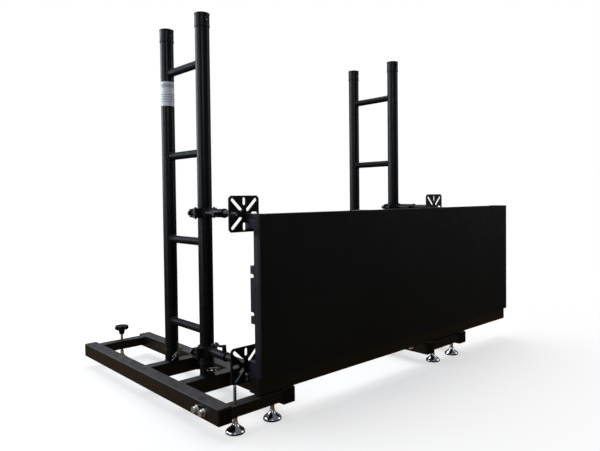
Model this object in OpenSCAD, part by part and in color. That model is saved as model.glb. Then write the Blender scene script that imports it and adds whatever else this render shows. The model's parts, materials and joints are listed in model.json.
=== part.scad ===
// Free-standing ground stand for a display wall: two outrigger base frames,
// two ladder uprights, clamp arms with slotted plates, a stacking beam and
// the first row of three display cabinets.
// Working axes: X runs along the wall, Y runs from the wall's front face to
// the rear of the base, Z is up from the floor.

/* [Wall] */
// Width of one cabinet
panel_w = 500; // [490:5:510]
// Height of one cabinet
panel_h = 500; // [460:5:520]
// Depth of the cabinet rim
panel_d = 32; // [28:1:36]
// Height of the cabinets' lower edge above the floor
wall_z = 145; // [145:1:160]
// Depth of the raised parts of the cabinet sides
side_raise = 19; // [10:1:24]

/* [Stands] */
// Distance between the two stands, centre to centre
stand_pitch = 1005; // [995:1:1010]
// Centre of the first stand, measured from the wall's left edge
stand_x = -5; // [-8:1:0]
// Overall width of one base frame
frame_w = 288; // [280:2:300]
// Y of the rear end of the base frame
frame_rear = 1010; // [1000:5:1060]
// Y of the front end of the base frame
frame_front = 8; // [4:1:9]
// Width of a base rail
rail_w = 48; // [40:1:50]
// Height of a base rail
rail_h = 50; // [48:1:50]
// Wall thickness of the square tubes
tube_t = 3; // [2:0.5:4]

/* [Ladder] */
// Outer diameter of the upright chords
chord_d = 48; // [46:0.5:48.5]
// Y of the front chord
chord_front = 295; // [290:1:300]
// Y of the rear chord
chord_rear = 537; // [530:1:545]
// Height of the top of the chord couplers
ladder_top = 1309; // [1250:1:1400]
// Outer diameter of the rungs
rung_d = 27; // [22:1:30]
// Height of the lowest rung
rung_z = 245; // [243:1:250]
// Rung spacing
rung_step = 301; // [290:1:305]

/* [Clamp arms] */
// Height of the lower arms
arm_low = 180; // [178:1:184]
// Height of the upper arms
arm_high = 645; // [640:1:650]
// Side of the slotted plates
plate_w = 112; // [108:1:116]
// Y of the plates' front face
plate_y = 70; // [70:1:74]
// Outer diameter of the sliding arm
arm_d = 22; // [20:0.5:23]
// Outer diameter of the sleeve the arm slides in
sleeve_d = 28; // [27:0.5:30]

/* [Feet] */
// Diameter of the levelling foot
foot_d = 58; // [50:1:62]
// Diameter of the levelling screw
screw_d = 10; // [8:1:12]
// Diameter of the star knob
knob_d = 56; // [50:1:60]

/* [Hidden] */
$fn = 64;

e = 0.01;
screw_head = 14;                          // socket screws on the outer rail
rail_z0 = 43;                             // underside of the rails
rail_top = rail_z0 + rail_h;
cross_w = 40;
cross_top = rail_top - 5;                 // the end cross tubes sit 5 below the rails
cross_h = 34;
bar_h = 50;                               // the ladder's cross tubes, as high as the rails
front_y = 30;                             // centre of the front cross tube
rear_y = frame_rear - 35;                 // centre of the rear cross tube
jack_x = 70;                              // front screws, each side of the stand's centre
jack_y = 33;
cap_t = 4;
socket_z = 139;                           // top of the base sockets
pin_z = 117;
pin_r = 6;
fit = 0.05;                               // radial running clearance
clamp_h = 32;
clamp_r = 31;
socket_r = chord_d/2 + 1;                 // sockets and couplers
bore_r = 20;                              // their bores
beam_d = 50;
beam_y = 13;
gasket = 2;
beam_top = wall_z - gasket;
mod_d = 12;                               // depth of a display module
seam = 0.3;
cx_l = stand_x;
cx_r = stand_x + stand_pitch;
wall_len = 3 * panel_w;
x_min = cx_l - frame_w/2 - screw_head;
ox = (x_min + wall_len) / 2;
oy = frame_rear / 2;

module place() translate([-ox, -oy, 0]) children();
module slab(a, b) translate(a) cube([b[0]-a[0], b[1]-a[1], b[2]-a[2]]);
module cyl_x(x0, x1, y, z, r) translate([x0, y, z]) rotate([0, 90, 0]) cylinder(r = r, h = x1 - x0);
module cyl_y(x, y0, y1, z, r) translate([x, y1, z]) rotate([90, 0, 0]) cylinder(r = r, h = y1 - y0);
module cyl_z(x, y, z0, z1, r) translate([x, y, z0]) cylinder(r = r, h = z1 - z0);
module tube_y(x0, x1, y0, y1, z0, z1, t) difference() {
  slab([x0, y0, z0], [x1, y1, z1]);
  slab([x0+t, y0-1, z0+t], [x1-t, y1+1, z1-t]);
}
module tube_x(x0, x1, y0, y1, z0, z1, t) difference() {
  slab([x0, y0, z0], [x1, y1, z1]);
  slab([x0-1, y0+t, z0+t], [x1+1, y1-t, z1-t]);
}
module hex_y(x, y0, y1, z, af) translate([x, y1, z]) rotate([90, 0, 0]) cylinder(r = af/2/cos(30), h = y1 - y0, $fn = 6);

// ---- base frames ------------------------------------------------------
module rails(cx) place() difference() {
  union() for (s = [-1, 1]) {
    xa = s < 0 ? cx - frame_w/2 : cx + frame_w/2 - rail_w;
    tube_y(xa, xa + rail_w, frame_front + cap_t, frame_rear - cap_t, rail_z0, rail_top, tube_t);
  }
  for (s = [-1, 1]) cyl_z(cx + s*(frame_w/2 - rail_w/2), 516, rail_top - 10, rail_top + 1, 4.5);
  for (y = [87, 125]) cyl_x(cx - frame_w/2 - 1, cx - frame_w/2 + 10, y, rail_z0 + 22, 6 + fit);
}
module cross_tubes(cx) place() {
  xa = cx - frame_w/2 + rail_w;
  xb = cx + frame_w/2 - rail_w;
  difference() {
    union() for (y = [front_y, rear_y])
      tube_x(xa, xb, y - cross_w/2, y + cross_w/2, cross_top - cross_h, cross_top, tube_t);
    for (s = [-1, 1]) cyl_z(cx + s*jack_x, jack_y, 0, 200, 11 + fit);
    cyl_z(cx, rear_y, 0, 200, 11 + fit);
  }
  for (y = [chord_front, chord_rear])
    tube_x(xa, xb, y - cross_w/2, y + cross_w/2, rail_top - bar_h, rail_top, tube_t);
}
module left_rails() color("#23252a") rails(cx_l);
module right_rails() color("#23252a") rails(cx_r);
module left_cross_tubes() color("#1c1e22") cross_tubes(cx_l);
module right_cross_tubes() color("#1c1e22") cross_tubes(cx_r);

// Ribbed plugs that close the rail and beam ends
module cap_y(x, y, s) {
  z = rail_z0;
  y0 = s > 0 ? y - cap_t : y;
  slab([x + 0.5, y0, z + 0.5], [x + rail_w - 0.5, y0 + cap_t - 1, z + rail_h - 0.5]);
  slab([x + 0.5, y0 + 0.5, z + 0.5], [x + rail_w - 0.5, y0 + cap_t, z + rail_h - 0.5]);
  ya = s > 0 ? y : y - 14;
  slab([x + tube_t + 0.2, ya, z + tube_t + 0.2], [x + rail_w - tube_t - 0.2, ya + 14, z + rail_h - tube_t - 0.2]);
}
module cap_x(x, s) {
  xa = s > 0 ? x - 3 : x;
  xb = s > 0 ? x : x - 14;
  slab([xa, beam_y + 0.5, beam_top - 49.5], [xa + 3, beam_y + beam_d - 0.5, beam_top - 0.5]);
  slab([xb, beam_y + 3.2, beam_top - 46.8], [xb + 14, beam_y + beam_d - 3.2, beam_top - 3.2]);
}
module tube_end_caps() color("#101114") place() {
  for (cx = [cx_l, cx_r]) for (xa = [cx - frame_w/2, cx + frame_w/2 - rail_w]) {
    cap_y(xa, frame_front + cap_t, 1);
    cap_y(xa, frame_rear - cap_t, -1);
  }
  cap_x(3, 1);
  cap_x(wall_len - 3, -1);
}
// Socket screws on the outer rail of each stand
module rail_bolts() color("#c9ccd0") place()
  for (cx = [cx_l, cx_r]) for (y = [87, 125]) difference() {
    union() {
      cyl_x(cx - frame_w/2 - screw_head, cx - frame_w/2 - 2, y, rail_z0 + 22, 9.5);
      cyl_x(cx - frame_w/2 - 2, cx - frame_w/2, y, rail_z0 + 22, 12);
      cyl_x(cx - frame_w/2, cx - frame_w/2 + 22, y, rail_z0 + 22, 6);
    }
    translate([cx - frame_w/2 - screw_head - 1, y, rail_z0 + 22]) rotate([0, 90, 0]) cylinder(r = 5.8, h = 7, $fn = 6);
  }
// Threaded bushings welded through the end cross tubes
module jack_bushings() color("#1c1e22") place() for (cx = [cx_l, cx_r])
  for (p = [[cx - jack_x, jack_y], [cx + jack_x, jack_y], [cx, rear_y]]) difference() {
    cyl_z(p[0], p[1], cross_top - cross_h - 1, cross_top + 1, 11);
    cyl_z(p[0], p[1], 0, 200, screw_d/2 + fit);
  }

// ---- ladders ----------------------------------------------------------
module base_sockets() color("#202227") place()
  for (cx = [cx_l, cx_r]) for (y = [chord_front, chord_rear]) difference() {
    union() {
      cyl_z(cx, y, rail_top, socket_z, socket_r);
      cyl_z(cx, y, socket_z - 4, socket_z, socket_r + 0.8);
    }
    cyl_z(cx, y, rail_top - 1, socket_z + 1, bore_r);
    cyl_y(cx, y - 40, y + 40, pin_z, pin_r + fit);
  }
module chord_spigots() color("#34363c") place()
  for (cx = [cx_l, cx_r]) for (y = [chord_front, chord_rear]) difference() {
    union() {
      cyl_z(cx, y, rail_top + 4, socket_z, bore_r - 0.1);
      cyl_z(cx, y, socket_z, socket_z + 36, chord_d/2 - 3.1);
    }
    cyl_z(cx, y, rail_top, socket_z + 60, 15);
    cyl_y(cx, y - 40, y + 40, pin_z, pin_r + fit);
  }
module chords(cx) place() for (y = [chord_front, chord_rear]) difference() {
  cyl_z(cx, y, socket_z, ladder_top - 45, chord_d/2);
  cyl_z(cx, y, socket_z - 1, ladder_top, chord_d/2 - 3);
}
module rungs(cx) place() for (k = [0:3]) difference() {
  cyl_y(cx, chord_front + 12, chord_rear - 12, rung_z + k*rung_step, rung_d/2);
  cyl_y(cx, chord_front, chord_rear, rung_z + k*rung_step, rung_d/2 - 2.5);
  for (y = [chord_front, chord_rear]) cyl_z(cx, y, 0, 1500, chord_d/2);
}
module left_chords() color("#25272c") chords(cx_l);
module right_chords() color("#25272c") chords(cx_r);
module left_rungs() color("#3a3c4c") rungs(cx_l);
module right_rungs() color("#3a3c4c") rungs(cx_r);
// Receivers that take the spigots of the next ladder section
module top_couplers() color("#25272c") place()
  for (cx = [cx_l, cx_r]) for (y = [chord_front, chord_rear]) difference() {
    union() {
      cyl_z(cx, y, ladder_top - 45, ladder_top, socket_r);
      cyl_z(cx, y, ladder_top - 45, ladder_top - 41, socket_r + 0.8);
      cyl_z(cx, y, ladder_top - 4, ladder_top, socket_r + 0.8);
    }
    cyl_z(cx, y, ladder_top - 41, ladder_top + 1, bore_r);
    cyl_z(cx, y, ladder_top - 50, ladder_top, 15);
    cyl_y(cx, y - 40, y + 40, ladder_top - 19, pin_r + fit);
  }
// Rating plate wrapped round the rear chord
module chord_label() color("#cfd1d6") place() intersection() {
  difference() {
    cyl_z(cx_l, chord_rear, 1031, 1119, chord_d/2 + 0.4);
    cyl_z(cx_l, chord_rear, 1030, 1120, chord_d/2 + 0.05);
  }
  translate([cx_l, chord_rear, 1031]) rotate([0, 0, -117]) translate([6, -40, 0]) cube([60, 80, 88]);
}

// ---- stacking beam and cabinets ---------------------------------------
module stacking_beam() color("#17181b") place()
  tube_x(3, wall_len - 3, beam_y, beam_y + beam_d, rail_top, beam_top, tube_t);
module beam_gasket() color("#0c0c0d") place()
  slab([1, beam_y, beam_top], [wall_len - 1, beam_y + beam_d - 18, wall_z]);

module cabinet(x) {
  xa = x + seam;
  xb = x + panel_w - seam;
  za = wall_z;
  zb = wall_z + panel_h;
  zm = wall_z + panel_h/2;
  difference() {
    slab([xa, mod_d, za], [xb, panel_d, zb]);
    // pocket behind the modules
    slab([xa + 7, mod_d - 1, za + 7], [xb - 7, panel_d - 7, zb - 7]);
    // shallow recesses that leave a rim and a cross rib on the back
    for (i = [0, 1]) for (j = [0, 1])
      slab([xa + 18 + i*(panel_w/2 - 6), panel_d - 4, za + 18 + j*(panel_h/2 - 6)],
           [xa + 18 + i*(panel_w/2 - 6) + panel_w/2 - 30, panel_d + 1, za + 18 + j*(panel_h/2 - 6) + panel_h/2 - 30]);
  }
  // ribs that carry the modules inside the pocket
  slab([x + panel_w/2 - 6, mod_d, za + 6], [x + panel_w/2 + 6, panel_d - 6, zb - 6]);
  slab([xa + 6, mod_d, zm - 6], [xb - 6, panel_d - 6, zm + 6]);
  // raised side parts with two slots each
  for (s = [0, 1]) {
    xs = s == 0 ? xa : xb - 14;
    difference() {
      slab([xs, panel_d - 1, za + 163], [xs + 14, panel_d + side_raise, za + 342]);
      for (z = [za + 193, za + 310]) {
        slab([xs - 1, panel_d + 9, z - 6], [xs + 15, panel_d + 40, z + 6]);
        cyl_x(xs - 1, xs + 15, panel_d + 9, z, 6);
      }
    }
  }
}
module panel_frames() color("#2b2c33") place() for (i = [0:2]) cabinet(i * panel_w);
module led_modules() color("#131415") place()
  for (i = [0:5]) for (j = [0, 1])
    slab([i*panel_w/2 + seam/2 + (i % 2 == 0 ? seam/2 : 0), 0, wall_z + j*panel_h/2 + seam/2],
         [(i + 1)*panel_w/2 - seam/2 - (i % 2 == 1 ? seam/2 : 0), mod_d, wall_z + (j + 1)*panel_h/2 - seam/2]);
// Corner blocks that the slotted plates bolt to
module panel_corner_blocks() color("#2b2c33") place()
  for (i = [0:2]) for (s = [0, 1]) for (t = [0, 1]) {
    xa = s == 0 ? i*panel_w + seam : (i + 1)*panel_w - seam - 35;
    za = t == 0 ? wall_z : wall_z + panel_h - 45;
    xh = s == 0 ? i*panel_w + (i == 0 ? 28 + stand_x : 28) : (i + 1)*panel_w - 28;
    zh = t == 0 ? arm_low - 28 : arm_high - 28;
    difference() {
      slab([xa, panel_d, za], [xa + 35, plate_y, za + 45]);
      cyl_y(xh, plate_y - 24, plate_y + 1, zh, 4.4);
    }
  }
module panel_back_boxes() color("#1a1b1e") place() for (i = [0:2]) {
  xm = (i + 0.5)*panel_w;
  zm = wall_z + panel_h/2 - 40;
  difference() {
    slab([xm - 130, panel_d, zm - 90], [xm + 130, panel_d + 38, zm + 90]);
    for (k = [-3:3]) slab([xm - 70, panel_d + 36, zm + 30 + k*7 - 1.5], [xm + 70, panel_d + 39, zm + 30 + k*7 + 1.5]);
    for (k = [-1, 1]) cyl_y(xm + k*70, panel_d + 34, panel_d + 40, zm - 50, 12);
  }
  for (k = [-1, 1]) difference() {
    cyl_y(xm + k*70, panel_d + 30, panel_d + 42, zm - 50, 11.8);
    cyl_y(xm + k*70, panel_d + 36, panel_d + 43, zm - 50, 9.5);
  }
}
module panel_handles() color("#101114") place() for (i = [0:2]) {
  xm = (i + 0.5)*panel_w;
  zm = wall_z + panel_h - 62;
  cyl_x(xm - 62, xm + 62, panel_d + 34, zm, 7);
  for (s = [-1, 1]) {
    cyl_y(xm + s*62, panel_d - 4, panel_d + 34, zm, 7);
    translate([xm + s*62, panel_d + 34, zm]) sphere(r = 7);
    cyl_y(xm + s*62, panel_d - 4, panel_d + 3, zm, 12);
  }
}
module panel_side_locks() color("#101114") place()
  for (i = [0:2]) for (s = [-1, 1]) {
    xm = (i + 0.5)*panel_w + s*(panel_w/2 - 14.3 - 14);
    cyl_y(xm, panel_d, panel_d + 10, wall_z + 252, 11);
    slab([xm - 4, panel_d + 10, wall_z + 232], [xm + 4, panel_d + 17, wall_z + 272]);
  }

// ---- clamps and arms --------------------------------------------------
module each_clamp() for (cx = [cx_l, cx_r]) for (z = [arm_low, arm_high]) translate([cx, chord_front, z]) children();
module clamp_bodies() color("#1b1c20") place() each_clamp() {
  h = clamp_h;
  difference() {
    union() {
      intersection() {
        cyl_z(0, 0, -h/2, h/2, clamp_r);
        slab([-40, -40, -h], [40, -0.4, h]);
      }
      cyl_y(0, -33, -25, 0, 16);
      // hinge lug on the +X side, fork for the eye bolt on the -X side
      slab([25, -9, -h/2], [42, -0.4, -h/2 + 9]);
      slab([25, -9, h/2 - 9], [42, -0.4, h/2]);
      for (s = [-1, 1]) slab([-51, -20, s*12 - 4], [-20, -4, s*12 + 4]);
    }
    cyl_z(0, 0, -h, h, chord_d/2 + 0.05);
    cyl_z(36, 0, -h, h, 3.6);
    cyl_z(-43, -12, -h, h, 3.6);
  }
}
module clamp_caps() color("#232429") place() each_clamp() {
  h = clamp_h;
  difference() {
    union() {
      intersection() {
        cyl_z(0, 0, -h/2, h/2, clamp_r);
        slab([-40, 0.4, -h], [40, 40, h]);
      }
      slab([25, 0.4, -h/2 + 9.4], [42, 9, h/2 - 9.4]);
      slab([-51, 4, -h/2 + 2], [-25, 14, h/2 - 2]);
    }
    cyl_z(0, 0, -h, h, chord_d/2 + 0.05);
    cyl_z(36, 0, -h, h, 3.6);
    slab([-60, 3, -5.4], [-37, 15, 5.4]);
  }
}
// Eye bolt, nut and the two vertical pins of each clamp
module clamp_bolts() color("#9aa0a8") place() each_clamp() {
  h = clamp_h;
  cyl_z(36, 0, -h/2 - 3, h/2 + 3, 3.5);
  cyl_z(-43, -12, -h/2 - 4, h/2 + 4, 3.5);
  difference() {
    union() {
      cyl_z(-43, -12, -7, 7, 7.5);
      cyl_y(-43, -8, 32, 0, 4.5);
    }
    cyl_z(-43, -12, -8, 8, 3.55);
  }
  difference() {
    union() {
      hex_y(-43, 16.2, 25, 0, 17);
      cyl_y(-43, 14.1, 16.2, 0, 11);
    }
    cyl_y(-43, 10, 30, 0, 4.55);
  }
}
// The sleeve carries a boss for its locking lever: up on the low arms, to the side on the high ones
module arm_sleeves() color("#33354a") place()
  for (cx = [cx_l, cx_r]) for (k = [0, 1]) translate([cx, 0, k == 0 ? arm_low : arm_high])
    rotate([0, k == 0 ? 0 : -90, 0]) difference() {
      union() {
        cyl_y(0, 176, chord_front - 33, 0, sleeve_d/2);
        cyl_y(0, 176, 181, 0, sleeve_d/2 + 1.5);
        cyl_z(0, 191, sleeve_d/2 - 4, sleeve_d/2 + 5, 8);
      }
      cyl_y(0, 170, 300, 0, arm_d/2 + fit);
      cyl_z(0, 191, 0, 40, 4 + fit);
    }

module plate_face() difference() {
  c = 8;
  w = plate_w/2;
  polygon([[-w + c, -w], [w - c, -w], [w, -w + c], [w, w - c], [w - c, w], [-w + c, w], [-w, w - c], [-w, -w + c]]);
  for (a = [0:3]) rotate(a*90) {
    // slot towards the edge
    translate([0, 32]) circle(r = 5.75);
    translate([-5.75, 32]) square([11.5, 13]);
    translate([0, 45]) circle(r = 5.75);
    // slot towards the corner
    rotate(45) {
      translate([0, 18.5]) circle(r = 5.75);
      translate([-5.75, 18.5]) square([11.5, 42]);
      translate([0, 60.5]) circle(r = 5.75);
    }
  }
}
// Sliding arm with its plate; b lists the sides (-1, 1) that hold a bolt
module arm_plate(cx, z, b) place() translate([cx, 0, z]) {
  difference() {
    union() {
      translate([0, plate_y + 5, 0]) rotate([90, 0, 0]) linear_extrude(height = 5) plate_face();
      cyl_y(0, plate_y + 5, 228, 0, arm_d/2);
      cyl_y(0, plate_y + 4.9, plate_y + 9, 0, arm_d/2 + 2);
    }
    cyl_y(0, plate_y + 12, 230, 0, arm_d/2 - 3);
  }
  for (s = b) {
    cyl_y(s*28, plate_y - 20, plate_y + 5.05, -28, 4);
    cyl_y(s*28, plate_y + 5.05, plate_y + 7, -28, 9.5);
    hex_y(s*28, plate_y + 7, plate_y + 12.5, -28, 13);
  }
}
module arm_plate_left_low() color("#15161a") arm_plate(cx_l, arm_low, [1]);
module arm_plate_left_high() color("#15161a") arm_plate(cx_l, arm_high, [1]);
module arm_plate_right_low() color("#15161a") arm_plate(cx_r, arm_low, [-1, 1]);
module arm_plate_right_high() color("#15161a") arm_plate(cx_r, arm_high, [-1, 1]);

// Locking lever: threaded stem, hub and a straight arm turned a little outwards
module lever(cx, z, side) place() translate([cx, 191, z]) rotate([0, side ? -90 : 0, 0]) {
  s = sleeve_d/2 + 5;
  cyl_z(0, 0, arm_d/2 + 0.5, s + 8, 4);
  cyl_z(0, 0, s + 0.3, s + 17, 7);
  rotate([0, 0, side ? 0 : 29]) {
    translate([0, 0, s + 12.5]) rotate([-89, 0, 0]) cylinder(r1 = 4.6, r2 = 3.4, h = 42, $fn = 48);
    translate([0, 42, s + 13.5]) sphere(r = 5.4, $fn = 48);
  }
}
module lever_left_low() color("#101114") lever(cx_l, arm_low, false);
module lever_left_high() color("#101114") lever(cx_l, arm_high, true);
module lever_right_low() color("#101114") lever(cx_r, arm_low, false);
module lever_right_high() color("#101114") lever(cx_r, arm_high, true);

// Socket pin with its wire clip; a is the clip's angle from level
module socket_pin(cx, y, a) place() translate([cx, y, pin_z]) rotate([0, 0, 90]) {
  difference() {
    cyl_x(-38, 29, 0, 0, pin_r);
    translate([-32, 0, 0]) rotate([a, 0, 0]) cyl_y(0, -10, 10, 0, 1.9);
  }
  // straight leg through the pin, eye, and the second leg beside the pin
  translate([-32, 0, 0]) rotate([a, 0, 0]) {
    cyl_y(0, -26, 22, 0, 1.75);
    difference() {
      cyl_x(-1.75, 1.75, -26, 4.2, 5.95);
      cyl_x(-3, 3, -26, 4.2, 2.45);
    }
    cyl_y(0, -26, 14, 8.4, 1.75);
  }
}
module pin_left_front() color("#d0d3d8") socket_pin(cx_l, chord_front, 12);
module pin_left_rear() color("#d0d3d8") socket_pin(cx_l, chord_rear, -38);
module pin_right_front() color("#d0d3d8") socket_pin(cx_r, chord_front, 12);
module pin_right_rear() color("#d0d3d8") socket_pin(cx_r, chord_rear, -38);

// ---- levelling feet ---------------------------------------------------
// One piece: rubber tread, bell and hexagon neck over a blind swivel bore
module foot(x, y) place() translate([x, y, 0]) difference() {
  union() {
    rotate_extrude() polygon([[0, 0], [foot_d/2 - 1.5, 0], [foot_d/2, 1.5], [foot_d/2, 6], [foot_d/2 - 2.5, 10],
      [foot_d/2 - 9, 15], [foot_d/2 - 15, 20], [foot_d/2 - 19, 25], [8.5, 29], [8.5, 31], [0, 31]]);
    cyl_z(0, 0, 30, 44, 7);
  }
  cyl_z(0, 0, 13, 50, screw_d/2 + fit);
}
module foot_left_outer() color("#c8cacc") foot(cx_l - jack_x, jack_y);
module foot_left_inner() color("#c8cacc") foot(cx_l + jack_x, jack_y);
module foot_left_rear() color("#c8cacc") foot(cx_l, rear_y);
module foot_right_inner() color("#c8cacc") foot(cx_r - jack_x, jack_y);
module foot_right_outer() color("#c8cacc") foot(cx_r + jack_x, jack_y);
module foot_right_rear() color("#c8cacc") foot(cx_r, rear_y);

module screw(x, y, top) place() cyl_z(x, y, 13.5, top, screw_d/2);
module screw_left_outer() color("#8d97a0") screw(cx_l - jack_x, jack_y, 141);
module screw_left_inner() color("#8d97a0") screw(cx_l + jack_x, jack_y, 84);
module screw_left_rear() color("#8d97a0") screw(cx_l, rear_y, 140);
module screw_right_inner() color("#8d97a0") screw(cx_r - jack_x, jack_y, 84);
module screw_right_outer() color("#8d97a0") screw(cx_r + jack_x, jack_y, 84);
module screw_right_rear() color("#8d97a0") screw(cx_r, rear_y, 140);

module knob(x) place() translate([x, rear_y, 0]) difference() {
  union() {
    difference() {
      rotate_extrude() polygon([[0, 133], [knob_d/2 - 4, 135], [knob_d/2, 139], [knob_d/2, 147], [knob_d/2 - 3, 151], [10, 153], [0, 153]]);
      for (a = [0:6]) rotate(a*360/7) translate([knob_d/2 + 3.5, 0, 120]) cylinder(r = 8, h = 50);
    }
    rotate_extrude() polygon([[0, 115], [9.5, 115], [10.5, 117], [13, 134], [0, 134]]);
  }
  cyl_z(0, 0, 100, 140, screw_d/2);
}
module knob_left() color("#0e0f10") knob(cx_l);
module knob_right() color("#0e0f10") knob(cx_r);

left_rails();
right_rails();
left_cross_tubes();
right_cross_tubes();
tube_end_caps();
rail_bolts();
jack_bushings();
base_sockets();
left_chords();
right_chords();
left_rungs();
right_rungs();
chord_spigots();
top_couplers();
chord_label();
stacking_beam();
beam_gasket();
panel_frames();
led_modules();
panel_back_boxes();
panel_handles();
panel_corner_blocks();
panel_side_locks();
clamp_bodies();
clamp_caps();
clamp_bolts();
arm_sleeves();
arm_plate_left_low();
arm_plate_left_high();
arm_plate_right_low();
arm_plate_right_high();
lever_left_low();
lever_left_high();
lever_right_low();
lever_right_high();
pin_left_front();
pin_left_rear();
pin_right_front();
pin_right_rear();
foot_left_outer();
foot_left_inner();
foot_left_rear();
foot_right_inner();
foot_right_outer();
foot_right_rear();
screw_left_outer();
screw_left_inner();
screw_left_rear();
screw_right_inner();
screw_right_outer();
screw_right_rear();
knob_left();
knob_right();
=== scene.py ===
import json
import math
import bpy
from mathutils import Vector, Matrix


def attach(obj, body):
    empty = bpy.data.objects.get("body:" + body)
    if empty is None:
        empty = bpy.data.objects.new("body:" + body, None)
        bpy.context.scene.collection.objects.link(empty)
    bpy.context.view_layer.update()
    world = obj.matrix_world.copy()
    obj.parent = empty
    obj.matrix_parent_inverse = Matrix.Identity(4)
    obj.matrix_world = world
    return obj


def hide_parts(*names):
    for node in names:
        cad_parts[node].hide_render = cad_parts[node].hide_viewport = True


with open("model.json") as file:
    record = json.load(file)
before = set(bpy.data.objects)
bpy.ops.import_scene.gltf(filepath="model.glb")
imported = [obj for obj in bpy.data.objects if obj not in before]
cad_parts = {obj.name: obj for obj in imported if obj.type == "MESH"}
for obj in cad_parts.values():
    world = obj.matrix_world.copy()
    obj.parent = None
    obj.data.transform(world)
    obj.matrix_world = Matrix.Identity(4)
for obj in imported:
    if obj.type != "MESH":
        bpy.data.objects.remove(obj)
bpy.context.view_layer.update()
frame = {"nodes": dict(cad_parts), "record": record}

N = frame["nodes"]
OX, OY = 0.6685, 0.505            # offset from the wall's left edge and front face


def W(x, y, z):
    """Millimetres from the wall's corner to metres in the frame."""
    return Vector((x / 1000 - OX, y / 1000 - OY, z / 1000))


# ------------------------------------------------------------------ materials
def new_mat(name):
    m = bpy.data.materials.new(name)
    m.use_nodes = True
    nt = m.node_tree
    nt.nodes.clear()
    out = nt.nodes.new("ShaderNodeOutputMaterial")
    bs = nt.nodes.new("ShaderNodeBsdfPrincipled")
    nt.links.new(bs.outputs[0], out.inputs[0])
    return m, nt, bs


def noise(nt, vec, scale, detail=2.0, rough=0.5):
    n = nt.nodes.new("ShaderNodeTexNoise")
    n.inputs["Scale"].default_value = scale
    n.inputs["Detail"].default_value = detail
    n.inputs["Roughness"].default_value = rough
    nt.links.new(vec, n.inputs["Vector"])
    return n.outputs["Fac"]


def rng(nt, fac, a, b, c, d):
    r = nt.nodes.new("ShaderNodeMapRange")
    for i, v in enumerate((a, b, c, d)):
        r.inputs[i + 1].default_value = v
    nt.links.new(fac, r.inputs[0])
    return r.outputs[0]


def mix(nt, fac, a, b):
    m = nt.nodes.new("ShaderNodeMix")
    m.data_type = "RGBA"
    for s, v in ((m.inputs[0], fac), (m.inputs[6], a), (m.inputs[7], b)):
        if isinstance(v, (tuple, list)):
            s.default_value = (*v[:3], 1)
        elif isinstance(v, (int, float)):
            s.default_value = v
        else:
            nt.links.new(v, s)
    return m.outputs[2]


def math_n(nt, op, a, b=None):
    m = nt.nodes.new("ShaderNodeMath")
    m.operation = op
    for s, v in ((m.inputs[0], a), (m.inputs[1], b)):
        if v is None:
            continue
        if isinstance(v, (int, float)):
            s.default_value = v
        else:
            nt.links.new(v, s)
    return m.outputs[0]


def bump(nt, bs, height, strength, distance):
    b = nt.nodes.new("ShaderNodeBump")
    b.inputs["Strength"].default_value = strength
    b.inputs["Distance"].default_value = distance
    nt.links.new(height, b.inputs["Height"])
    nt.links.new(b.outputs[0], bs.inputs["Normal"])
    return b


def coords(nt):
    t = nt.nodes.new("ShaderNodeTexCoord")
    return t.outputs["Object"]


def up_mask(nt):
    g = nt.nodes.new("ShaderNodeNewGeometry")
    s = nt.nodes.new("ShaderNodeSeparateXYZ")
    nt.links.new(g.outputs["Normal"], s.inputs[0])
    return rng(nt, s.outputs["Z"], 0.55, 0.98, 0.0, 1.0)


def edge_mask(nt, radius=0.0016):
    """Where the surface turns within a couple of millimetres: worn edges."""
    b = nt.nodes.new("ShaderNodeBevel")
    b.samples = 4
    b.inputs["Radius"].default_value = radius
    g = nt.nodes.new("ShaderNodeNewGeometry")
    d = nt.nodes.new("ShaderNodeVectorMath")
    d.operation = "DOT_PRODUCT"
    nt.links.new(b.outputs[0], d.inputs[0])
    nt.links.new(g.outputs["Normal"], d.inputs[1])
    return rng(nt, d.outputs["Value"], 0.985, 0.86, 0.0, 1.0)


def coat(name, base, rough=0.42, spec=0.35, dust=0.3, wear=0.5, peel=0.10, tint=(0.11, 0.11, 0.115)):
    """Powder coat: orange peel, cloudy gloss, settled dust on top faces and rubbed edges."""
    m, nt, bs = new_mat(name)
    c = coords(nt)
    n1 = noise(nt, c, 7.0, 5.0, 0.6)
    n2 = noise(nt, c, 60.0, 3.0)
    fine = noise(nt, c, 950.0, 2.0)
    v = mix(nt, rng(nt, n1, 0.35, 0.7, 0, 1), tuple(k * 0.72 for k in base), tuple(k * 1.3 for k in base))
    dm = math_n(nt, "MULTIPLY", up_mask(nt), rng(nt, n2, 0.35, 0.7, dust * 0.45, dust))
    v = mix(nt, dm, v, tint)
    if wear > 0:
        em = math_n(nt, "MULTIPLY", edge_mask(nt), rng(nt, noise(nt, c, 35.0, 4.0, 0.65), 0.45, 0.68, 0.0, wear))
        v = mix(nt, em, v, (0.085, 0.086, 0.09))
    nt.links.new(v, bs.inputs["Base Color"])
    r = rng(nt, n2, 0.3, 0.7, rough - 0.06, rough + 0.07)
    r2 = math_n(nt, "ADD", r, math_n(nt, "MULTIPLY", dm, 0.25))
    nt.links.new(r2, bs.inputs["Roughness"])
    bs.inputs["Specular IOR Level"].default_value = spec
    bump(nt, bs, fine, peel, 0.0004)
    return m


def plastic(name, base, rough=0.55, spec=0.3, grain=1500.0, strength=0.14):
    m, nt, bs = new_mat(name)
    c = coords(nt)
    n1 = noise(nt, c, 25.0, 4.0, 0.6)
    v = mix(nt, n1, tuple(k * 0.7 for k in base), tuple(k * 1.4 for k in base))
    nt.links.new(v, bs.inputs["Base Color"])
    nt.links.new(rng(nt, n1, 0.3, 0.7, rough - 0.07, rough + 0.08), bs.inputs["Roughness"])
    bs.inputs["Specular IOR Level"].default_value = spec
    bump(nt, bs, noise(nt, c, grain, 1.0), strength, 0.0003)
    return m


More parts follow.
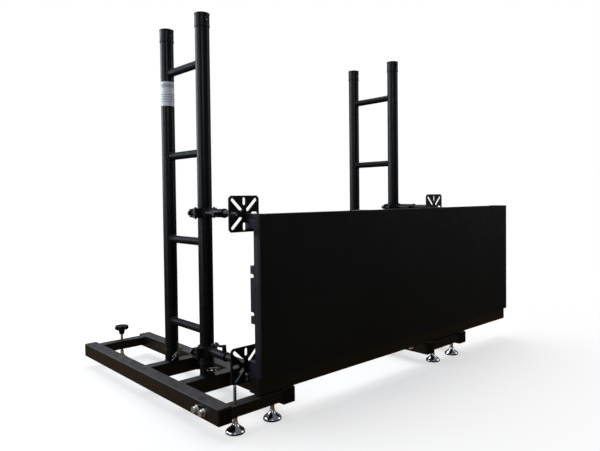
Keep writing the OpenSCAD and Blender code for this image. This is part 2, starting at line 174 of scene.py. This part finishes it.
def metal(name, base, rough, grain_axis=None, var=0.12, dirt=0.0):
    m, nt, bs = new_mat(name)
    c = coords(nt)
    mp = nt.nodes.new("ShaderNodeMapping")
    s = [220.0, 220.0, 220.0]
    if grain_axis is not None:
        s = [1400.0, 1400.0, 1400.0]
        s[grain_axis] = 25.0
    mp.inputs["Scale"].default_value = s
    nt.links.new(c, mp.inputs[0])
    g = noise(nt, mp.outputs[0], 1.0, 3.0)
    n1 = noise(nt, c, 70.0, 4.0, 0.6)
    lo = tuple(k * (1 - var) for k in base)
    hi = tuple(min(1, k * (1 + var * 0.6)) for k in base)
    v = mix(nt, n1, lo, hi)
    if dirt > 0:
        v = mix(nt, rng(nt, n1, 0.5, 0.75, 0, dirt), v, (0.08, 0.075, 0.07))
    nt.links.new(v, bs.inputs["Base Color"])
    bs.inputs["Metallic"].default_value = 1.0
    nt.links.new(rng(nt, g, 0.3, 0.7, max(rough - 0.05, 0.02), rough + 0.07), bs.inputs["Roughness"])
    bump(nt, bs, g, 0.05, 0.0003)
    return m


def display_mask(name):
    """Matt black mask with a fine grid of lamp windows and louvre lines."""
    m, nt, bs = new_mat(name)
    c = coords(nt)
    sp = nt.nodes.new("ShaderNodeSeparateXYZ")
    nt.links.new(c, sp.inputs[0])
    pitch = 0.00390625
    fx = math_n(nt, "FRACT", math_n(nt, "DIVIDE", math_n(nt, "ADD", sp.outputs["X"], OX), pitch))
    fz = math_n(nt, "FRACT", math_n(nt, "DIVIDE", math_n(nt, "SUBTRACT", sp.outputs["Z"], 0.145), pitch))
    dx = math_n(nt, "ABSOLUTE", math_n(nt, "SUBTRACT", fx, 0.5))
    dz = math_n(nt, "ABSOLUTE", math_n(nt, "SUBTRACT", fz, 0.5))
    lamp = rng(nt, math_n(nt, "MAXIMUM", dx, dz), 0.17, 0.22, 1.0, 0.0)
    louvre = rng(nt, dz, 0.40, 0.46, 0.0, 1.0)
    n1 = noise(nt, c, 3.0, 4.0, 0.55)
    base = mix(nt, rng(nt, n1, 0.3, 0.7, 0.0, 1.0), (0.0040, 0.0047, 0.0044), (0.0088, 0.0098, 0.0092))
    v = mix(nt, math_n(nt, "MULTIPLY", lamp, 0.55), base, (0.016, 0.0175, 0.0165))
    nt.links.new(v, bs.inputs["Base Color"])
    nt.links.new(rng(nt, noise(nt, c, 18.0, 3.0), 0.3, 0.7, 0.58, 0.70), bs.inputs["Roughness"])
    bs.inputs["Specular IOR Level"].default_value = 0.16
    h = math_n(nt, "ADD", louvre, math_n(nt, "MULTIPLY", lamp, -0.6))
    bump(nt, bs, h, 0.25, 0.0002)
    return m


def chrome_foot(name, low, high):
    """Chromed bell with a moulded rubber tread below it, split at a fixed height."""
    m, nt, bs = new_mat(name)
    c = coords(nt)
    sp = nt.nodes.new("ShaderNodeSeparateXYZ")
    nt.links.new(c, sp.inputs[0])
    rub = rng(nt, sp.outputs["Z"], 0.0058, 0.0062, 1.0, 0.0)
    n1 = noise(nt, c, 90.0, 3.0)
    v = mix(nt, rub, mix(nt, n1, low, high), (0.008, 0.008, 0.008))
    nt.links.new(v, bs.inputs["Base Color"])
    nt.links.new(rng(nt, rub, 0, 1, 1, 0), bs.inputs["Metallic"])
    r = math_n(nt, "ADD", rng(nt, n1, 0.3, 0.75, 0.07, 0.16), math_n(nt, "MULTIPLY", rub, 0.5))
    nt.links.new(r, bs.inputs["Roughness"])
    bump(nt, bs, noise(nt, c, 400.0, 1.0), 0.02, 0.0002)
    return m


def label_film(name):
    """Silvery film with blank fields and plain bars."""
    m, nt, bs = new_mat(name)
    c = coords(nt)
    sp = nt.nodes.new("ShaderNodeSeparateXYZ")
    nt.links.new(c, sp.inputs[0])
    z = math_n(nt, "SUBTRACT", sp.outputs["Z"], 1.031)
    bars = math_n(nt, "GREATER_THAN", math_n(nt, "FRACT", math_n(nt, "DIVIDE", z, 0.0085)), 0.62)
    band = math_n(nt, "MULTIPLY", math_n(nt, "GREATER_THAN", z, 0.014), math_n(nt, "LESS_THAN", z, 0.048))
    head = math_n(nt, "MULTIPLY", math_n(nt, "GREATER_THAN", z, 0.066), math_n(nt, "LESS_THAN", z, 0.080))
    ink = math_n(nt, "MAXIMUM", math_n(nt, "MULTIPLY", bars, band), math_n(nt, "MULTIPLY", head, 0.8))
    n1 = noise(nt, c, 120.0, 3.0)
    paper = mix(nt, n1, (0.78, 0.82, 0.88), (0.92, 0.95, 0.98))
    v = mix(nt, math_n(nt, "MULTIPLY", ink, 0.55), paper, (0.06, 0.065, 0.075))
    nt.links.new(v, bs.inputs["Base Color"])
    nt.links.new(rng(nt, n1, 0.3, 0.7, 0.32, 0.46), bs.inputs["Roughness"])
    bump(nt, bs, noise(nt, c, 90.0, 2.0), 0.08, 0.0006)
    return m


MAT = {
    "frame_coat": coat("frame_powder_coat", (0.0070, 0.0060, 0.0050), rough=0.38, spec=0.30, dust=0.34, wear=0.6),
    "ladder_coat": coat("ladder_powder_coat", (0.0028, 0.0037, 0.0043), rough=0.33, spec=0.24, dust=0.16, wear=0.35),
    "rung_coat": coat("rung_powder_coat", (0.0032, 0.0030, 0.0045), rough=0.50, spec=0.09, dust=0.03, wear=0.3, tint=(0.10, 0.10, 0.13)),
    "clamp_coat": coat("clamp_powder_coat", (0.0048, 0.0048, 0.0055), rough=0.42, spec=0.25, dust=0.08, wear=0.7),
    "plate_coat": coat("plate_powder_coat", (0.0038, 0.0038, 0.0042), rough=0.45, spec=0.22, dust=0.05, wear=0.5),
    "cabinet_metal": coat("cabinet_paint", (0.0135, 0.0138, 0.0225), rough=0.46, spec=0.32, dust=0.12, wear=0.4, peel=0.16, tint=(0.09, 0.09, 0.12)),
    "plug_plastic": plastic("plug_plastic", (0.0042, 0.0040, 0.0040), 0.42, 0.3),
    "box_plastic": plastic("box_plastic", (0.0085, 0.0085, 0.0095), 0.55, 0.35),
    "handle_plastic": plastic("handle_plastic", (0.0045, 0.0045, 0.0050), 0.45, 0.25),
    "knob_plastic": plastic("knob_plastic", (0.0032, 0.0032, 0.0034), 0.42, 0.22, 1100.0, 0.1),
    "gasket_rubber": plastic("gasket_rubber", (0.0035, 0.0035, 0.0035), 0.8, 0.15, 500.0, 0.3),
    "zinc": metal("bright_zinc", (0.86, 0.87, 0.88), 0.36, None, 0.12, 0.15),
    "black_zinc": metal("black_zinc", (0.045, 0.045, 0.050), 0.36, None, 0.2, 0.3),
    "screw_zinc": metal("zinc_thread", (0.26, 0.31, 0.33), 0.32, None, 0.2, 0.3),
    "clip_steel": metal("spring_steel", (0.80, 0.81, 0.83), 0.18, None, 0.1),
    "chrome_foot": chrome_foot("chromed_foot", (0.74, 0.74, 0.74), (0.93, 0.93, 0.94)),
    "label": label_film("label_film"),
    "display_mask": display_mask("display_mask"),
}
SLEEVE = coat("sleeve_powder_coat", (0.0042, 0.0042, 0.0062), rough=0.44, spec=0.14, dust=0.03, wear=0.4)
WELD = coat("weld_coat", (0.0060, 0.0060, 0.0064), rough=0.34, spec=0.35, dust=0.15, wear=0.0, peel=0.2)

slot_of = {s["node"]: s["material_slot"] for s in frame["record"]["subparts"]}
BEVEL = {"left_rails": 2.2, "right_rails": 2.2, "left_cross_tubes": 1.8, "right_cross_tubes": 1.8, "stacking_beam": 2.0,
         "tube_end_caps": 0.8, "rail_bolts": 0.6, "jack_bushings": 0.5, "base_sockets": 0.7, "top_couplers": 0.8,
         "left_chords": 0.4, "right_chords": 0.4, "panel_frames": 1.0, "led_modules": 0.14, "panel_back_boxes": 2.0,
         "panel_corner_blocks": 1.0, "panel_side_locks": 1.0, "clamp_bodies": 0.9, "clamp_caps": 0.9, "clamp_bolts": 0.5,
         "arm_sleeves": 0.6, "knob_left": 1.6, "knob_right": 1.6, "chord_spigots": 0.4}
for n, o in N.items():
    me = o.data
    me.materials.clear()
    me.materials.append(SLEEVE if n == "arm_sleeves" else MAT[slot_of[n]])
    if "custom_normal" in me.attributes:
        me.attributes.remove(me.attributes["custom_normal"])
    me.polygons.foreach_set("use_smooth", [True] * len(me.polygons))
    if n in ("left_rungs", "right_rungs", "beam_gasket", "chord_label") or n.startswith("screw"):
        w = 0.15
    elif n.startswith("arm_plate"):
        w = 0.7
    elif n.startswith("foot") or n.startswith("lever"):
        w = 0.45
    elif n.startswith("pin"):
        w = 0.4
    else:
        w = BEVEL.get(n, 0.5)
    wd = o.modifiers.new("weld", "WELD")
    wd.merge_threshold = 2e-6
    bv = o.modifiers.new("edge", "BEVEL")
    bv.width = w / 1000
    bv.segments = 2
    bv.limit_method = "ANGLE"
    bv.angle_limit = math.radians(32)
    bv.use_clamp_overlap = True
    wn = o.modifiers.new("wn", "WEIGHTED_NORMAL")
    wn.mode = "FACE_AREA"
    wn.weight = 60
    wn.keep_sharp = True


# ------------------------------------------------------------------ geometry helpers
def mesh_obj(name, verts, faces, mat, body, slot, smooth=True, bevel=None):
    me = bpy.data.meshes.new(name)
    me.from_pydata([tuple(v) for v in verts], [], faces)
    me.validate()
    me.update()
    o = bpy.data.objects.new(name, me)
    bpy.context.scene.collection.objects.link(o)
    me.materials.append(mat)
    me.polygons.foreach_set("use_smooth", [smooth] * len(me.polygons))
    if bevel:
        bv = o.modifiers.new("edge", "BEVEL")
        bv.width = bevel / 1000
        bv.segments = 2
        bv.limit_method = "ANGLE"
        bv.angle_limit = math.radians(32)
        wn = o.modifiers.new("wn", "WEIGHTED_NORMAL")
        wn.keep_sharp = True
    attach(o, body)
    return o


class Build:
    """Collects closed solids into one mesh."""

    def __init__(self):
        self.v, self.f = [], []

    def add(self, vs, fs):
        k = len(self.v)
        self.v += [Vector(p) for p in vs]
        self.f += [tuple(i + k for i in f) for f in fs]

    def prism(self, c, u, v, w, pts, depth):
        """Polygon pts in the u-v plane at c, extruded along w by depth (millimetres)."""
        n = len(pts)
        a = [c + (u * p[0] + v * p[1]) / 1000 for p in pts]
        b = [p + w * depth / 1000 for p in a]
        self.add(a + b, [tuple(range(n))[::-1], tuple(range(n, 2 * n))] + [(i, (i + 1) % n, n + (i + 1) % n, n + i) for i in range(n)])

    def box(self, p0, p1):
        a, b = W(*p0), W(*p1)
        vs = [(x, y, z) for z in (a.z, b.z) for y in (a.y, b.y) for x in (a.x, b.x)]
        self.add(vs, [(0, 2, 3, 1), (4, 5, 7, 6), (0, 1, 5, 4), (2, 6, 7, 3), (0, 4, 6, 2), (1, 3, 7, 5)])

    def lathe(self, c, axis, prof, n=32):
        """prof: (radius, height) pairs in millimetres, turned round axis at c; ends closed on the axis."""
        axis = Vector(axis).normalized()
        u = axis.orthogonal().normalized()
        v = axis.cross(u)
        vs, fs = [], []
        rows = []
        for r, h in prof:
            if r < 1e-6:
                rows.append([len(vs)])
                vs.append(c + axis * h / 1000)
            else:
                rows.append([len(vs) + i for i in range(n)])
                for i in range(n):
                    a = 2 * math.pi * i / n
                    vs.append(c + axis * h / 1000 + (u * math.cos(a) + v * math.sin(a)) * r / 1000)
        for A, B in zip(rows, rows[1:]):
            for i in range(n):
                j = (i + 1) % n
                if len(A) == 1 and len(B) == 1:
                    continue
                if len(A) == 1:
                    fs.append((A[0], B[j], B[i]))
                elif len(B) == 1:
                    fs.append((A[i], A[j], B[0]))
                else:
                    fs.append((A[i], A[j], B[j], B[i]))
        self.add(vs, fs)

    def bead(self, pts, r, closed=True, ripple=0.16, step=2.6, n=8):
        """A weld bead: a tube along pts with the small waves of a hand-run weld."""
        P = [Vector(p) for p in pts]
        if closed:
            P.append(P[0])
        # resample evenly
        L = [0.0]
        for a, b in zip(P, P[1:]):
            L.append(L[-1] + (b - a).length)
        m = max(8, int(L[-1] / (step / 1000 / 4)))
        Q = []
        k = 0
        for i in range(m + (0 if closed else 1)):
            t = L[-1] * i / m
            while k < len(L) - 2 and L[k + 1] < t:
                k += 1
            s = (t - L[k]) / max(L[k + 1] - L[k], 1e-9)
            Q.append(P[k].lerp(P[k + 1], s))
        vs, fs = [], []
        M = len(Q)
        prev = None
        for i, q in enumerate(Q):
            if closed:
                d = (Q[(i + 1) % M] - Q[i - 1]).normalized()
            else:
                d = (Q[min(i + 1, M - 1)] - Q[max(i - 1, 0)]).normalized()
            if prev is None:
                u = d.orthogonal().normalized()
            else:
                u = (prev - d * prev.dot(d)).normalized()
            prev = u
            v = d.cross(u)
            rr = r / 1000 * (1 + ripple * math.sin(2 * math.pi * i / 4.0) + 0.06 * math.sin(i * 0.37))
            for j in range(n):
                a = 2 * math.pi * j / n
                vs.append(q + (u * math.cos(a) + v * math.sin(a)) * rr)
        for i in range(M if closed else M - 1):
            a0, b0 = i * n, ((i + 1) % M) * n
            for j in range(n):
                jj = (j + 1) % n
                fs.append((a0 + j, b0 + j, b0 + jj, a0 + jj))
        if not closed:
            fs.append(tuple(range(n)))
            fs.append(tuple(range((M - 1) * n, M * n))[::-1])
        self.add(vs, fs)

    def obj(self, name, mat, body, slot, **k):
        return mesh_obj(name, self.v, self.f, mat, body, slot, **k)


CL, CR = -5.0, 1000.0
X, Y, Z = Vector((1, 0, 0)), Vector((0, 1, 0)), Vector((0, 0, 1))

# ------------------------------------------------------------------ welds
for side, cx in (("left", CL), ("right", CR)):
    b = Build()
    for k in range(4):
        z = 245 + 301 * k
        for yc, s in ((295, 1), (537, -1)):
            pts = []
            for i in range(48):
                a = 2 * math.pi * i / 48
                x, dz = 14.2 * math.cos(a), 14.2 * math.sin(a)
                pts.append(W(cx + x, yc + s * (math.sqrt(24.0 ** 2 - x * x) + 0.7), z + dz))
            b.bead(pts, 2.1)
    b.obj(side + "_rung_welds", WELD, "stand", "rung_coat")
    b = Build()
    for yc, w, z0, z1 in ((30, 20, 54, 88), (975, 20, 54, 88), (295, 20, 43, 93), (537, 20, 43, 93)):
        for s in (-1, 1):
            x = cx + s * 95.4
            q = 0.4
            pts = [W(x, yc - w - q, z0 - q), W(x, yc + w + q, z0 - q), W(x, yc + w + q, z1 - 1.2), W(x, yc - w - q, z1 - 1.2)]
            if z1 < 93:
                pts[2] = W(x, yc + w + q, z1 + q)
                pts[3] = W(x, yc - w - q, z1 + q)
                b.bead(pts, 1.9)
            else:
                b.bead([pts[3], pts[0], pts[1], pts[2]], 1.9, closed=False)
    b.obj(side + "_frame_welds", WELD, "stand", "frame_coat")
    b = Build()
    for yc in (295, 537):
        for a0 in (-47, 133):
            pts = []
            for i in range(24):
                a = math.radians(a0 + 94 * i / 23)
                pts.append(W(cx + 25.5 * math.cos(a), yc + 25.5 * math.sin(a), 93.6))
            b.bead(pts, 2.0, closed=False)
        pts = [W(cx + 24.3 * math.cos(a), yc + 24.3 * math.sin(a), 1263.6) for a in [2 * math.pi * i / 64 for i in range(64)]]
        b.bead(pts, 1.0)
    for jx, jy in ((cx - 70, 33), (cx + 70, 33), (cx, 975)):
        pts = [W(jx + 11.4 * math.cos(a), jy + 11.4 * math.sin(a), 88.3) for a in [2 * math.pi * i / 40 for i in range(40)]]
        b.bead(pts, 1.2)
    b.obj(side + "_socket_welds", WELD, "stand", "ladder_coat")

# ------------------------------------------------------------------ ribbed faces of the rail plugs
b = Build()
for cx in (CL, CR):
    for xa in (cx - 144, cx + 96):
        for ya, s in ((8, -1), (1010, 1)):
            for i in range(7):
                x0 = xa + 3.4 + i * 6.2
                if s < 0:
                    b.box((x0, ya - 3.0, 46.5), (x0 + 3.4, ya + 0.5, 89.5))
                else:
                    b.box((x0, ya - 0.5, 46.5), (x0 + 3.4, ya, 89.5))
b.obj("plug_ribs", MAT["plug_plastic"], "stand", "plug_plastic", bevel=0.5)


# ------------------------------------------------------------------ threads
def thread(name, node, body, x, y, z0, z1, r=5.0, pitch=1.5, n=20):
    """A rolled thread on a chamfered core; takes the place of the plain screw."""
    root = r - 0.85
    core = Build()
    c = W(x, y, 0)
    core.lathe(c, Z, [(0, z0), (root - 0.6, z0), (root + 0.1, z0 + 1.2), (root + 0.1, z1 - 1.2), (root - 0.9, z1), (0, z1)], 32)
    vs, fs = [], []
    turns = (z1 - z0 - 3.2) / pitch
    m = int(turns * n)
    prof = ((0.0, root), (0.34, r), (0.50, r), (0.84, root))
    for i in range(m + 1):
        a = 2 * math.pi * i / n
        fade = min(1.0, i / n, (m - i) / n)
        for f, rr in prof:
            q = root - 0.15 + (rr - root + 0.15) * fade
            vs.append(Vector((c.x + q * math.cos(a) / 1000, c.y + q * math.sin(a) / 1000, (z0 + 1.4 + (i / n + f) * pitch) / 1000)))
    k = len(prof)
    for i in range(m):
        for j in range(k - 1):
            fs.append((i * k + j, (i + 1) * k + j, (i + 1) * k + j + 1, i * k + j + 1))
        fs.append((i * k, i * k + k - 1, (i + 1) * k + k - 1, (i + 1) * k))
    fs.append(tuple(range(k)))
    fs.append(tuple(range(m * k, m * k + k))[::-1])
    core.add(vs, fs)
    o = core.obj(name, MAT["screw_zinc"], body, "screw_zinc")
    o.data.set_sharp_from_angle(angle=math.radians(40))
    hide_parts(node)
    return o


for a, x, y, top in (("left_outer", CL - 70, 33, 141), ("left_inner", CL + 70, 33, 84), ("left_rear", CL, 975, 140),
                     ("right_inner", CR - 70, 33, 84), ("right_outer", CR + 70, 33, 84), ("right_rear", CR, 975, 140)):
    thread("thread_" + a, "screw_" + a, "screw_" + a, x, y, 13.5, top)

# ------------------------------------------------------------------ plate bolts
for a, cx, z, bs in (("left_low", CL, 180, (1,)), ("left_high", CL, 645, (1,)), ("right_low", CR, 180, (-1, 1)), ("right_high", CR, 645, (-1, 1))):
    b = Build()
    for s in bs:
        c = W(cx + s * 28, 0, z - 28)
        b.lathe(c, Y, [(4.2, 75.1), (9.8, 75.1), (10.0, 75.4), (10.0, 77.0), (9.6, 77.3), (4.2, 77.3)], 32)
        r = 13 / 2 / math.cos(math.radians(30)) + 0.15
        vs = []
        for h, q in ((77.3, 1.0), (82.0, 1.0), (83.2, 0.9)):
            for i in range(6):
                t = math.radians(60 * i)
                vs.append(c + Vector((r * q * math.cos(t), h, r * q * math.sin(t))) / 1000)
        fs = [tuple(range(6)), tuple(range(12, 18))[::-1]]
        for k in range(2):
            for i in range(6):
                j = (i + 1) % 6
                fs.append((k * 6 + i, (k + 1) * 6 + i, (k + 1) * 6 + j, k * 6 + j))
        b.add(vs, fs)
    b.obj("plate_bolts_" + a, MAT["zinc"], "arm_" + a, "zinc", bevel=0.3)

# ------------------------------------------------------------------ small hardware on the cabinet backs
b = Build()
for i in range(3):
    x0 = 500 * i
    for dx in (20, 130, 244, 256, 370, 480):
        for z in (157, 383, 407, 633):
            b.lathe(W(x0 + dx, 31.4, z), Y, [(0, 0), (3.1, 0), (3.1, 1.6), (2.2, 2.5), (0, 2.7)], 20)
b.obj("frame_screws", MAT["zinc"], "stand", "zinc")
b = Build()
for i in range(3):
    xm = 500 * i + 250
    for dx in (-120, 120):
        for dz in (-80, 80):
            b.lathe(W(xm + dx, 69.6, 355 + dz), Y, [(0, 0), (4.0, 0), (4.0, 1.4), (2.8, 2.4), (1.2, 2.4), (1.2, 1.4), (0, 1.4)], 20)
b.obj("box_screws", MAT["zinc"], "stand", "zinc")

# ------------------------------------------------------------------ floor, light, camera
fl = bpy.data.meshes.new("floor")
S = 14.0
fl.from_pydata([(-S, -S, -0.0004), (S, -S, -0.0004), (S, S, -0.0004), (-S, S, -0.0004)], [], [(0, 1, 2, 3)])
floor = bpy.data.objects.new("floor", fl)
bpy.context.scene.collection.objects.link(floor)
fm, nt, bs = new_mat("pale_floor")
c = coords(nt)
lpf = nt.nodes.new("ShaderNodeLightPath")
pale = mix(nt, noise(nt, c, 2.0, 3.0), (0.88, 0.878, 0.872), (0.91, 0.908, 0.902))
# to the camera the floor is pale; to reflection and bounce rays it is brown, a painted brown reflection on the rail
# sides
nt.links.new(mix(nt, lpf.outputs["Is Camera Ray"], (0.36, 0.205, 0.085), pale), bs.inputs["Base Color"])
bs.inputs["Roughness"].default_value = 0.8
bs.inputs["Specular IOR Level"].default_value = 0.05
# far from the object the floor runs out into the white backdrop; to reflection and bounce rays it glows a dim brown
# instead, a painted brown reflection on the rail sides
ln = nt.nodes.new("ShaderNodeVectorMath")
ln.operation = "LENGTH"
nt.links.new(c, ln.inputs[0])
far = rng(nt, ln.outputs["Value"], 0.5, 1.9, 0.55, 1.0)
em = nt.nodes.new("ShaderNodeEmission")
nt.links.new(mix(nt, lpf.outputs["Is Camera Ray"], (0.06, 0.042, 0.024), (1, 1, 1)), em.inputs[0])
mx = nt.nodes.new("ShaderNodeMixShader")
nt.links.new(far, mx.inputs[0])
nt.links.new(bs.outputs[0], mx.inputs[1])
nt.links.new(em.outputs[0], mx.inputs[2])
nt.links.new(mx.outputs[0], [n for n in nt.nodes if n.type == "OUTPUT_MATERIAL"][0].inputs[0])
fl.materials.append(fm)

world = bpy.data.worlds.new("studio")
bpy.context.scene.world = world
world.use_nodes = True
wn = world.node_tree
wn.nodes.clear()
wo = wn.nodes.new("ShaderNodeOutputWorld")
ms = wn.nodes.new("ShaderNodeMixShader")
lp = wn.nodes.new("ShaderNodeLightPath")
b1 = wn.nodes.new("ShaderNodeBackground")
b2 = wn.nodes.new("ShaderNodeBackground")
b1.inputs[0].default_value = (0.80, 0.86, 1.0, 1)
b1.inputs[1].default_value = 0.16
b2.inputs[0].default_value = (1, 1, 1, 1)
b2.inputs[1].default_value = 1.0
wn.links.new(lp.outputs["Is Camera Ray"], ms.inputs[0])
wn.links.new(b1.outputs[0], ms.inputs[1])
wn.links.new(b2.outputs[0], ms.inputs[2])
wn.links.new(ms.outputs[0], wo.inputs[0])


def area(name, loc, target, size, power, color=(1, 1, 1)):
    l = bpy.data.lights.new(name, "AREA")
    l.shape = "RECTANGLE"
    l.size, l.size_y = size
    l.energy = power
    l.color = color
    o = bpy.data.objects.new(name, l)
    bpy.context.scene.collection.objects.link(o)
    o.location = loc
    d = Vector(target) - Vector(loc)
    o.rotation_euler = d.to_track_quat("-Z", "Y").to_euler()
    return o


area("top", (0.2, 0.9, 3.4), (0, 0.1, 0.3), (4.2, 3.2), 165)
area("back_left", (-2.4, 2.6, 1.7), (0, 0, 0.6), (2.6, 2.0), 75, (0.80, 0.89, 1.0))
area("left", (-3.6, 0.2, 1.2), (0, 0, 0.5), (1.2, 2.2), 24, (0.82, 0.91, 1.0))
area("right", (3.0, -2.2, 1.9), (0.3, 0, 0.4), (2.0, 2.0), 15)
area("front_left", (-2.6, -3.0, 1.9), (-0.5, 0, 0.9), (1.0, 1.0), 12, (0.90, 0.95, 1.0))

cam = bpy.data.cameras.new("camera")
co = bpy.data.objects.new("camera", cam)
bpy.context.scene.collection.objects.link(co)
bpy.context.scene.camera = co
cam.sensor_width = 36.0
cam.lens = 547.18 / 600 * 36.0
cam.shift_x = (300 - 314.609) / 600
cam.shift_y = (211.559 - 225.5) / 600
cam.clip_start = 0.05
cam.clip_end = 60
yaw, pitch, roll = math.radians(43.135), math.radians(-1.499), math.radians(-0.596)
fwd = Vector((math.sin(yaw) * math.cos(pitch), math.cos(yaw) * math.cos(pitch), math.sin(pitch)))
right = Vector((math.cos(yaw), -math.sin(yaw), 0))
up = right.cross(fwd)
r2 = right * math.cos(roll) + up * math.sin(roll)
u2 = -right * math.sin(roll) + up * math.cos(roll)
R = Matrix((r2, u2, -fwd)).transposed()
co.matrix_world = Matrix.Translation(W(-994.8, -1301.7, 693.4)) @ R.to_4x4()

sc = bpy.context.scene
sc.view_settings.view_transform = "Standard"
sc.view_settings.look = "None"
